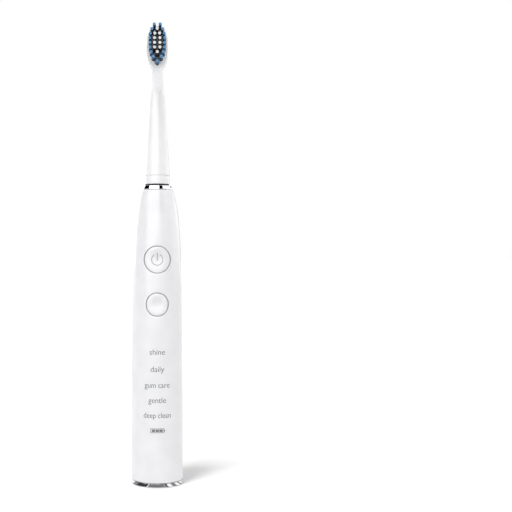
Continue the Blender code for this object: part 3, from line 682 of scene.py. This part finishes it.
def battery_symbol():
    """A plain battery lying on its side: an outline, its contact, and three cells."""
    half_width, half_height, stroke, middle = 0.0036, 0.00115, 0.00028, BATTERY_MARK
    low, high = middle - half_height, middle + half_height
    parts = [
        bar(-half_width, half_width, low, low + stroke),
        bar(-half_width, half_width, high - stroke, high),
        bar(-half_width, stroke - half_width, low + stroke, high - stroke, 1),
        bar(half_width - stroke, half_width, low + stroke, high - stroke, 1),
        bar(half_width, half_width + 0.00045, middle - 0.0005, middle + 0.0005, 1),
    ]
    cell_width, gap = 0.00175, 0.00024
    for number in (-1, 0, 1):
        centre = number * (cell_width + gap)
        left, right = centre - cell_width / 2, centre + cell_width / 2
        parts.append(bar(left, right, low + stroke + gap, high - stroke - gap, 4))
    return parts


def word_solid(text, middle, width):
    """A word in thin strokes, scaled to a width, centred on the handle at a height."""
    curve = bpy.data.curves.new("word", "FONT")
    curve.body = text
    curve.align_x = "CENTER"
    curve.size = 1.0
    curve.offset = LETTER_WEIGHT
    curve.extrude = LETTER_EXTRUDE
    curve.resolution_u = 6
    maker = bpy.data.objects.new("word", curve)
    bpy.context.scene.collection.objects.link(maker)
    graph = bpy.context.evaluated_depsgraph_get()
    mesh = bpy.data.meshes.new_from_object(maker.evaluated_get(graph))
    bpy.data.objects.remove(maker)
    bm = bmesh.new()
    bm.from_mesh(mesh)
    bmesh.ops.remove_doubles(bm, verts=bm.verts, dist=1e-5)
    bmesh.ops.triangulate(bm, faces=[face for face in bm.faces if len(face.verts) > 4])
    reach = max(vert.co.x for vert in bm.verts) - min(vert.co.x for vert in bm.verts)
    scale = width / reach
    for vert in bm.verts:
        x, up, out = vert.co
        depth = MARK_DEPTH / 2 - out / LETTER_EXTRUDE * MARK_DEPTH / 2
        vert.co = (x * scale, depth, middle + (up - LETTER_MIDDLE) * LETTER_SIZE)
    return bm


def make_marks():
    """The power symbol on its button, the words for the modes, and the battery symbol."""
    light_ink = printed_ink("pale_grey_ink", 0.44)
    word_ink = printed_ink("grey_ink", 0.10)
    dark_ink = printed_ink("dark_grey_ink", 0.17)
    for number, part in enumerate(power_symbol()):
        bent = press_on(part, lambda x, z: button_face_depth(POWER_BUTTON, x, z))
        add_piece(finish_mesh(f"power_symbol_{number}", bent, light_ink), "power_button", "grey_plastic")
    for text, height, width in MODE_WORDS:
        bent = press_on(word_solid(text, height, width), skin_depth)
        word = finish_mesh("word_" + text.replace(" ", "_"), bent, word_ink)
        add_piece(word, "handle", "grey_plastic")
    for number, part in enumerate(battery_symbol()):
        piece = finish_mesh(f"battery_mark_{number}", press_on(part, skin_depth), dark_ink)
        add_piece(piece, "handle", "grey_plastic")


# ---------------------------------------------------------------- rings and cap


def foot_outline():
    """The chrome foot: a plain ring with a rounded lower edge and a crisp upper one."""
    bore, top, fillet, crisp = 0.0113, FOOT_HIGH.z, 0.0006, 0.00004
    flat = FOOT_RADIUS - fillet
    turns = [math.pi / 2 * i / 8 for i in range(1, 9)]
    curve = [(flat + fillet * math.sin(turn), fillet - fillet * math.cos(turn)) for turn in turns]
    upper_edge = [(FOOT_RADIUS, top - crisp), (FOOT_RADIUS - crisp, top)]
    return [(bore, 0.0), (flat, 0.0), *curve, *upper_edge, (bore, top)]


def collar_outline():
    """The chrome collar: a band that bulges a little and draws in at its top."""
    bottom, top = COLLAR_LOW.z, COLLAR_HIGH.z - 0.0003
    return [
        (NOSE_BORE, bottom),
        (0.00810, bottom),
        (0.00818, bottom + 0.0001),
        (0.00790, bottom + 0.0011),
        (0.00745, top - 0.0003),
        (0.00690, top),
        (NOSE_BORE, top),
    ]


def head_ring_outline():
    """The ring at the foot of the brush head, with the thinner lip that goes up into the neck."""
    bottom, top = HEAD_RING_LOW.z + 0.0001, NECK_LOW.z - 0.0001
    mouth, lip, bore = 0.0052, 0.0050, 0.0044
    return [
        (mouth, bottom),
        (0.0068, bottom),
        (NECK_RADIUS, top),
        (lip, top),
        (lip, HEAD_RING_HIGH.z),
        (bore, HEAD_RING_HIGH.z),
        (bore, bottom + 0.0033),
        (mouth, bottom + 0.0018),
    ]


def cap_outline():
    """The cap in the foot: a flat, a skirt with the groove for the seal, and the charging socket's well."""
    low, top = CAP_LOW.z, CAP_HIGH.z
    flat, skirt, groove, skirt_inside, well = 0.0110, 0.0118, 0.0108, 0.0096, 0.0047
    groove_low, groove_high, skirt_top, floor_top, thickness = 0.0049, 0.0065, 0.0090, 0.0031, 0.0010
    return [
        (well, low),
        (flat, low),
        (flat, SHELL_LOW.z),
        (skirt, SHELL_LOW.z),
        (skirt, groove_low),
        (groove, groove_low),
        (groove, groove_high),
        (skirt, groove_high),
        (skirt, skirt_top),
        (skirt_inside, skirt_top),
        (skirt_inside, floor_top),
        (well + thickness, floor_top),
        (well + thickness, top),
        (0.0, top),
        (0.0, top - thickness),
        (well, top - thickness),
    ]


def seal_outline():
    """The rubber boot round the shaft, with a thin lip over the collar and a slope up to the shaft."""
    top, foot = SEAL_HIGH.z, 0.1516
    lip_low, lip_high = COLLAR_HIGH.z + 0.00004, HEAD_RING_LOW.z - 0.00008
    shaft_bore, foot_bore, foot_radius, lip_radius = 0.00215, 0.0039, 0.0049, 0.0064
    return [
        (shaft_bore, 0.1565),
        (foot_bore, 0.1552),
        (foot_bore, foot),
        (foot_radius, foot),
        (foot_radius, lip_low),
        (lip_radius, lip_low),
        (lip_radius, lip_high),
        (0.0045, lip_high),
        (0.0041, top - 0.0009),
        (0.0037, top - 0.0002),
        (0.0033, top),
        (shaft_bore, top),
    ]


def make_rings(materials):
    """Fine versions of the turned pieces that show."""
    foot, collar = foot_outline(), rounded(collar_outline(), 0.0003)
    cap, seal = rounded(cap_outline(), 0.0003), rounded(seal_outline(), 0.0002)
    head_ring = rounded(head_ring_outline(), 0.00025)
    rows = (
        ("chrome_foot", foot, 160, "chrome", "handle", "foot_ring"),
        ("chrome_collar", collar, 128, "chrome", "handle", "collar_ring"),
        ("foot_cap", cap, 96, "white_plastic", "handle", "bottom_cap"),
        ("bellows_seal", seal, 72, "grey_rubber", "handle", "nose_seal"),
        ("head_foot_ring", head_ring, 128, "head_plastic", "brush_head", "head_ring"),
    )
    for name, outline, steps, finish, body, node in rows:
        slot = "white_plastic" if finish == "head_plastic" else finish
        add_piece(finish_mesh(name, lathe_mesh(outline, steps), materials[finish]), body, slot, node)


# ---------------------------------------------------------------- brush head


def neck_cone(height):
    """The radius of the round neck, carried on upwards as a cone."""
    return NECK_RADIUS - NECK_SLOPE * (height - NECK_LOW.z)


def flattening(height):
    """0 on the round neck, 1 on the slim flat-fronted stem above it."""
    return smoothstep(*FLATTENING, height)


def head_half_width(height):
    """Half the width of the head: the cone, then the stem, then the oval paddle, run into one another."""
    stem = STEM_HALF_WIDTH + STEM_SLOPE * (STEM_TOP - height)
    from_middle = min(abs(height - PADDLE_CENTRE) / PADDLE_HALF_HEIGHT, 1.0)
    paddle = PADDLE_HALF_WIDTH * (1 - from_middle**PADDLE_SQUARENESS) ** (1 / PADDLE_SQUARENESS)
    if height > PADDLE_CENTRE:
        return paddle
    neck = mix(neck_cone(height), stem, flattening(height))
    blend = 0.0004
    return (neck + paddle + math.sqrt((neck - paddle) ** 2 + blend**2)) / 2


def thinning(height):
    """How much of its depth the head keeps as it rounds off at its top."""
    return (1 - max(0.0, (height - TOP_ROUNDING_START) / TOP_ROUNDING_LENGTH) ** 4) ** 0.25


def facet_depth(height):
    """How far the flat front stands before the axis: it leans in from the cone, then runs straight up."""
    leaning = neck_cone(FACET_START) - FACET_SLOPE * (height - FACET_START)
    blend = 0.0003
    upright = PADDLE_FRONT - blend / 4
    return (leaning + upright + math.sqrt((leaning - upright) ** 2 + blend**2)) / 2 * thinning(height)


def head_section(height, points):
    """One level outline of the head, as corners, before its front is cut flat."""
    half_width = head_half_width(height)
    front = max(neck_cone(height), PADDLE_CROWN) * thinning(height)
    back = mix(neck_cone(height), PADDLE_BACK, smoothstep(0.1950, 0.2320, height)) * thinning(height)
    squarer = smoothstep(0.2060, 0.2260, height)
    corners = []
    for i in range(points):
        angle = math.tau * (i + 0.5) / points
        facing_front = math.sin(angle) < 0
        squareness = mix(2.0, 4.0 if facing_front else 2.6, squarer)
        across = math.copysign(abs(math.cos(angle)) ** (2 / squareness), math.cos(angle))
        out = math.copysign(abs(math.sin(angle)) ** (2 / squareness), math.sin(angle))
        corners.append((half_width * across, (front if facing_front else back) * out, height))
    return corners


def facet_cutter():
    """Everything in front of the head's flat front."""
    low, high = FACET_START - 0.0060, PADDLE_CENTRE + PADDLE_HALF_HEIGHT + 0.0010
    before, half_width = -0.0120, 0.0100
    heights = [mix(low, high - 0.0012, i / 80) for i in range(81)]
    edge = [(-facet_depth(height), height) for height in heights] + [(0.0, high)]
    outline = edge + [(before, high), (before, low)]
    rings = [[(x, y, z) for y, z in outline] for x in (-half_width, half_width)]
    return finish_mesh("facet_cutter", prism_solid(rings), None)


def prism_solid(rings):
    """A solid between two flat outlines that match corner for corner."""
    bm = bmesh.new()
    near, far = [[bm.verts.new(corner) for corner in ring] for ring in rings]
    bm.faces.new(near)
    bm.faces.new(far[::-1])
    for i in range(len(near)):
        j = (i + 1) % len(near)
        bm.faces.new((near[i], near[j], far[j], far[i]))
    return bm


def paddle_outline(inset, points):
    """The paddle's oval, drawn in, and with its lowest part left to the stem."""
    raised = 0.0004
    middle = PADDLE_CENTRE + raised
    half_height = PADDLE_HALF_HEIGHT - raised - inset
    return superellipse(PADDLE_HALF_WIDTH - inset, half_height, (0.0, middle), PADDLE_SQUARENESS, points)


def pocket_cutter():
    """The pocket for the tuft plate, with a softened rim."""
    rings = []
    for depth, widening in ((-0.0040, 0.0001), (-0.0026, 0.00005), (-0.0025, 0.0), (POCKET_FLOOR, 0.0)):
        rings.append([(x, depth, z) for x, z in paddle_outline(PADDLE_WALL - widening, 120)])
    return finish_mesh("pocket_cutter", grid_solid(rings), None)


def make_head_shell(materials):
    """The hollow neck, the flat-fronted stem and the oval paddle, in one piece."""
    low, high = NECK_LOW.z, NECK_HIGH.z - 0.00002
    neck_end, stem_end = 0.2020, 0.2225
    edge, edge_share, points = 0.00015, 0.982, 96
    heights = [low + edge] + [mix(low, neck_end, i / 16) for i in range(1, 17)]
    heights += [mix(neck_end, stem_end, i / 36) for i in range(1, 37)]
    heights += [mix(stem_end, high, math.sin(math.pi / 2 * i / 46)) for i in range(1, 47)]
    rings = [[(x * edge_share, y * edge_share, low) for x, y, _ in head_section(low, points)]]
    rings += [head_section(height, points) for height in heights]
    shell = finish_mesh("head_shell", grid_solid(rings), materials["head_plastic"])
    hollow = [(0.0, low - 0.001), (0.00545, low - 0.001), (0.0042, 0.1875), (0.0, 0.1900)]
    hollow_cutter = finish_mesh("hollow_cutter", lathe_mesh(hollow, 64), None)
    subtract(shell, facet_cutter(), hollow_cutter, pocket_cutter())
    add_piece(shell, "brush_head", "white_plastic", "neck_shell")


def tuft_rows(outer):
    """For each outer, or each inner, tuft: its root and its tip, as (x, z)."""
    middle_row = (len(TUFT_ROWS) - 1) / 2
    places = []
    for row, (outer_spacing, inner_spacing) in enumerate(TUFT_ROWS):
        rise = (middle_row - row) * TUFT_ROW_PITCH
        spacing = outer_spacing if outer else inner_spacing
        if spacing is None:
            continue
        for side in (-1, 1) if spacing else (0,):
            root = (side * spacing, TUFT_MIDDLE + rise)
            tip = (side * spacing * TUFT_SPREAD, TUFT_MIDDLE + rise * TUFT_SPREAD)
            places.append((root, tip))
    return places


def make_tuft_plate(materials):
    """The plate in the paddle's pocket, with a hole for every tuft."""
    front, back = PLATE_LOW.y, PLATE_HIGH.y
    gap, rise = 0.00004, 0.00006
    rings = []
    for depth, gaps in ((back, 1), (front, 1), (front - rise, 3)):
        rings.append([(x, depth, z) for x, z in paddle_outline(PADDLE_WALL + gaps * gap, 96)])
    plate = finish_mesh("spacing_plate", grid_solid(rings), materials["tuft_plate"])
    holes = bmesh.new()
    to_y = Matrix.Rotation(math.radians(90), 4, "X")
    for (x, z), _ in tuft_rows(True) + tuft_rows(False):
        middle = Matrix.Translation((x, (front + back) / 2, z))
        bmesh.ops.create_cone(
            holes,
            cap_ends=True,
            segments=20,
            radius1=TUFT_HOLE_RADIUS,
            radius2=TUFT_HOLE_RADIUS,
            depth=0.004,
            matrix=middle @ to_y,
        )
    subtract(plate, finish_mesh("plate_holes", holes, None))
    add_piece(plate, "brush_head", "white_plastic", "tuft_plate")


def add_filament(bm, root, tip, radius):
    """One filament with a rounded end, from root to tip."""
    along = tip - root
    direction = along.normalized()
    side = direction.cross(Vector((0.0, 0.0, 1.0))).normalized()
    up = direction.cross(side)
    profile = [(0.0, 1.0), (along.length - radius * 0.35, 1.0), (along.length - radius * 0.1, 0.8)]
    rings = []
    for distance, share in profile:
        centre = root + direction * distance
        corners = []
        for i in range(6):
            angle = math.tau * i / 6
            outward = side * math.cos(angle) + up * math.sin(angle)
            corners.append(bm.verts.new(centre + outward * radius * share))
        rings.append(corners)
    for lower, upper in zip(rings, rings[1:]):
        for i in range(6):
            j = (i + 1) % 6
            bm.faces.new((lower[i], lower[j], upper[j], upper[i]))
    end = bm.verts.new(root + along)
    for i in range(6):
        bm.faces.new((rings[-1][i], rings[-1][(i + 1) % 6], end))
    bm.faces.new(rings[0][::-1])


def make_bristles(materials):
    """Every filament of every tuft: packed in a sunflower pattern, each a little off straight and even."""
    rng = random.Random(7)
    golden = math.pi * (3 - math.sqrt(5))
    gathered, spread, wander, unevenness = 0.92, 1.03, 0.00003, 0.00008
    sets = (
        ("blue_bristles", True, OUTER_TUFT_RADIUS, "blue_bristle", "outer_tufts"),
        ("white_bristles", False, INNER_TUFT_RADIUS, "white_bristle", "inner_tufts"),
    )
    for name, outer, tuft_radius, slot, replaced in sets:
        count = round(FILAMENTS_PER_TUFT * (tuft_radius / OUTER_TUFT_RADIUS) ** 2)
        bm = bmesh.new()
        for (root_x, root_z), (tip_x, tip_z) in tuft_rows(outer):
            fullness = 1 + 0.16 * smoothstep(TUFT_MIDDLE - 0.0050, TUFT_MIDDLE - 0.0090, root_z)
            for i in range(count):
                reach = (tuft_radius - FILAMENT_RADIUS) * math.sqrt((i + 0.5) / count) * fullness
                angle = golden * i + root_x * 900
                across, up = reach * math.cos(angle), reach * math.sin(angle)
                root = Vector((root_x + across * gathered, PLATE_HIGH.y + 0.0001, root_z + up * gathered))
                x = tip_x + across * spread + rng.uniform(-wander, wander)
                trimmed = TUFTS_LOW.y + 0.00005 + rng.uniform(0.0, unevenness)
                y = trimmed + unevenness * (reach / tuft_radius) ** 4
                z = tip_z + up * spread + rng.uniform(-wander, wander)
                add_filament(bm, root, Vector((x, y, z)), FILAMENT_RADIUS)
        add_piece(finish_mesh(name, bm, materials[slot], 60), "brush_head", slot, replaced)


# ---------------------------------------------------------------- floor, light and camera


def make_floor():
    bm = bmesh.new()
    just_under = Matrix.Translation((0.0, 0.0, -0.00005))
    bmesh.ops.create_grid(bm, x_segments=1, y_segments=1, size=30.0, matrix=just_under)
    nodes = Nodes("pale_floor", (0.95, 0.95, 0.95), 0.8)
    floor = finish_mesh("floor", bm, nodes.material)


# Panels of the studio, as (start, end, brightness). The degrees say which way a spot of the brush faces
# when it mirrors the panel: 0 is straight to the front and 90 is to the right. The low ones stand round the
# brush, and the high ones lean over it.
LOW_PANELS = (
    (-90, -63, 2.2),
    (-58, -30, 0.55),
    (-23, -3, 4.0),
    (12, 38, 0.8),
    (43, 73, 2.1),
    (78, 90, 0.2),
)
HIGH_PANELS = (
    (-90, -60, 1.4),
    (-58, -33, 0.0),
    (-31, 6, 3.0),
    (8, 20.5, 0.0),
    (22.5, 62, 1.3),
    (66, 90, 0.0),
)
HIGH_PANELS_FROM = 0.24
LOW_PANELS_UP_TO = 0.28
BRIGHTEST = 4.0
SOFT_LIGHT_LOW = 0.92
SOFT_LIGHT_HIGH = 0.46

# Dark cards laid on the floor before the foot ring, as (start, end, brightness) by direction from the axis
FLOOR_CARDS = (
    (-80, -61, 0.30),
    (-61, -26.8, 0.05),
    (-24.2, 17, 0.22),
    (17, 22, 0.32),
    (22.5, 29, 0.10),
    (42, 56, 0.25),
    (69, 78, 0.35),
)


def studio_bands(node, turn, panels):
    """A ramp over the turn from -90 to 90 degrees, level across each panel and sloping between panels."""
    ramp = node("ShaderNodeValToRGB", {"Fac": turn})
    stops = [(angle, level / BRIGHTEST) for start, end, level in panels for angle in (start, end)]
    elements = ramp.color_ramp.elements
    while len(elements) < len(stops):
        elements.new(1.0)
    for element, (angle, level) in zip(elements, stops):
        element.position = (angle + 90) / 180
        element.color = (level, level, level, 1.0)
    return ramp.outputs["Color"]


def make_world():
    """A white studio: even for the eye and for soft light, with bright and dark panels for reflections."""
    world = bpy.data.worlds.new("studio")
    bpy.context.scene.world = world
    world.use_nodes = True
    tree = world.node_tree
    tree.nodes.clear()

    def node(kind, inputs=None, **settings):
        return add_node(tree, kind, inputs, **settings)

    direction = node("ShaderNodeTexCoord").outputs["Generated"]
    parts = node("ShaderNodeSeparateXYZ", {"Vector": direction}).outputs
    forwards = node("ShaderNodeMath", {0: 1.0, 1: parts["Y"]}, operation="SUBTRACT").outputs[0]
    angle = node("ShaderNodeMath", {0: parts["X"], 1: forwards}, operation="ARCTAN2").outputs[0]
    half_turn = {"Value": angle, "From Min": -math.pi / 2, "From Max": math.pi / 2}
    turn = node("ShaderNodeMapRange", half_turn).outputs[0]
    change = {"Value": parts["Z"], "From Min": HIGH_PANELS_FROM, "From Max": LOW_PANELS_UP_TO}
    height = node("ShaderNodeMapRange", change).outputs[0]
    low = studio_bands(node, turn, LOW_PANELS)
    high = studio_bands(node, turn, HIGH_PANELS)
    bands = node("ShaderNodeMix", {0: height, 6: low, 7: high}, data_type="RGBA").outputs[2]
    white = (1.0, 1.0, 1.0, 1.0)
    panels = node("ShaderNodeBackground", {"Color": bands, "Strength": BRIGHTEST}).outputs[0]
    dimming = {"Value": parts["Z"], "To Min": SOFT_LIGHT_LOW, "To Max": SOFT_LIGHT_HIGH}
    soft = node("ShaderNodeMapRange", dimming).outputs[0]
    ambient = node("ShaderNodeBackground", {"Color": white, "Strength": soft}).outputs[0]
    seen = node("ShaderNodeBackground", {"Color": white, "Strength": 1.0}).outputs[0]
    path = node("ShaderNodeLightPath").outputs
    lit = node("ShaderNodeMixShader", {0: path["Is Glossy Ray"], 1: ambient, 2: panels}).outputs[0]
    both = node("ShaderNodeMixShader", {0: path["Is Camera Ray"], 1: lit, 2: seen}).outputs[0]
    node("ShaderNodeOutputWorld", {"Surface": both})


def make_key_light():
    """One soft light, high up and a little to the left, that throws the short shadow behind the brush."""
    sun = bpy.data.lights.new("key_light", "SUN")
    sun.energy = KEY_STRENGTH
    sun.angle = math.radians(KEY_SIZE)
    key = bpy.data.objects.new("key_light", sun)
    bpy.context.scene.collection.objects.link(key)
    key.visible_glossy = False
    key.rotation_euler = Vector(KEY_TOWARD).to_track_quat("Z", "Y").to_euler()


def make_floor_cards():
    """Flags that only reflections see: they give the chrome foot its dark bands."""
    inner, outer, height, steps = FOOT_RADIUS + 0.0002, FOOT_RADIUS + 0.0098, 0.00002, 12
    for number, (start, end, level) in enumerate(FLOOR_CARDS):
        angles = [math.radians(mix(start, end, i / steps)) for i in range(steps + 1)]
        bm = bmesh.new()
        edges = []
        for reach in (inner, outer):
            edges.append([bm.verts.new((reach * math.sin(a), -reach * math.cos(a), height)) for a in angles])
        for i in range(steps):
            bm.faces.new((edges[0][i], edges[0][i + 1], edges[1][i + 1], edges[1][i]))
        material = bpy.data.materials.new(f"card_{number}")
        material.use_nodes = True
        tree = material.node_tree
        tree.nodes.clear()
        glow = add_node(tree, "ShaderNodeEmission", {"Color": (1.0, 1.0, 1.0, 1.0), "Strength": level})
        add_node(tree, "ShaderNodeOutputMaterial", {"Surface": glow.outputs[0]})
        card = finish_mesh(f"floor_card_{number}", bm, material)
        card.visible_camera = False
        card.visible_diffuse = False
        card.visible_shadow = False
        card.visible_transmission = False


def make_camera():
    camera = bpy.data.cameras.new("camera")
    camera.lens = CAMERA_LENS
    camera.sensor_width = 36.0
    camera.shift_x = CAMERA_SHIFT
    camera.clip_start = 0.01
    obj = bpy.data.objects.new("camera", camera)
    bpy.context.scene.collection.objects.link(obj)
    obj.location = CAMERA_PLACE
    obj.rotation_euler = (math.radians(90), 0.0, 0.0)
    bpy.context.scene.camera = obj


# ---------------------------------------------------------------- the whole picture


def main():
    make_camera()
    make_world()
    make_key_light()
    make_floor()
    make_floor_cards()
    bpy.context.scene.view_settings.view_transform = "Standard"
    materials = {**white_materials(), **bristle_materials(), **plain_materials()}
    dress_cad_nodes(materials)
    make_casing(materials)
    make_button_cap("power_button", POWER_BUTTON, materials)
    make_button_cap("mode_button", MODE_BUTTON, materials)
    make_marks()
    make_rings(materials)
    make_head_shell(materials)
    make_tuft_plate(materials)
    make_bristles(materials)


main()
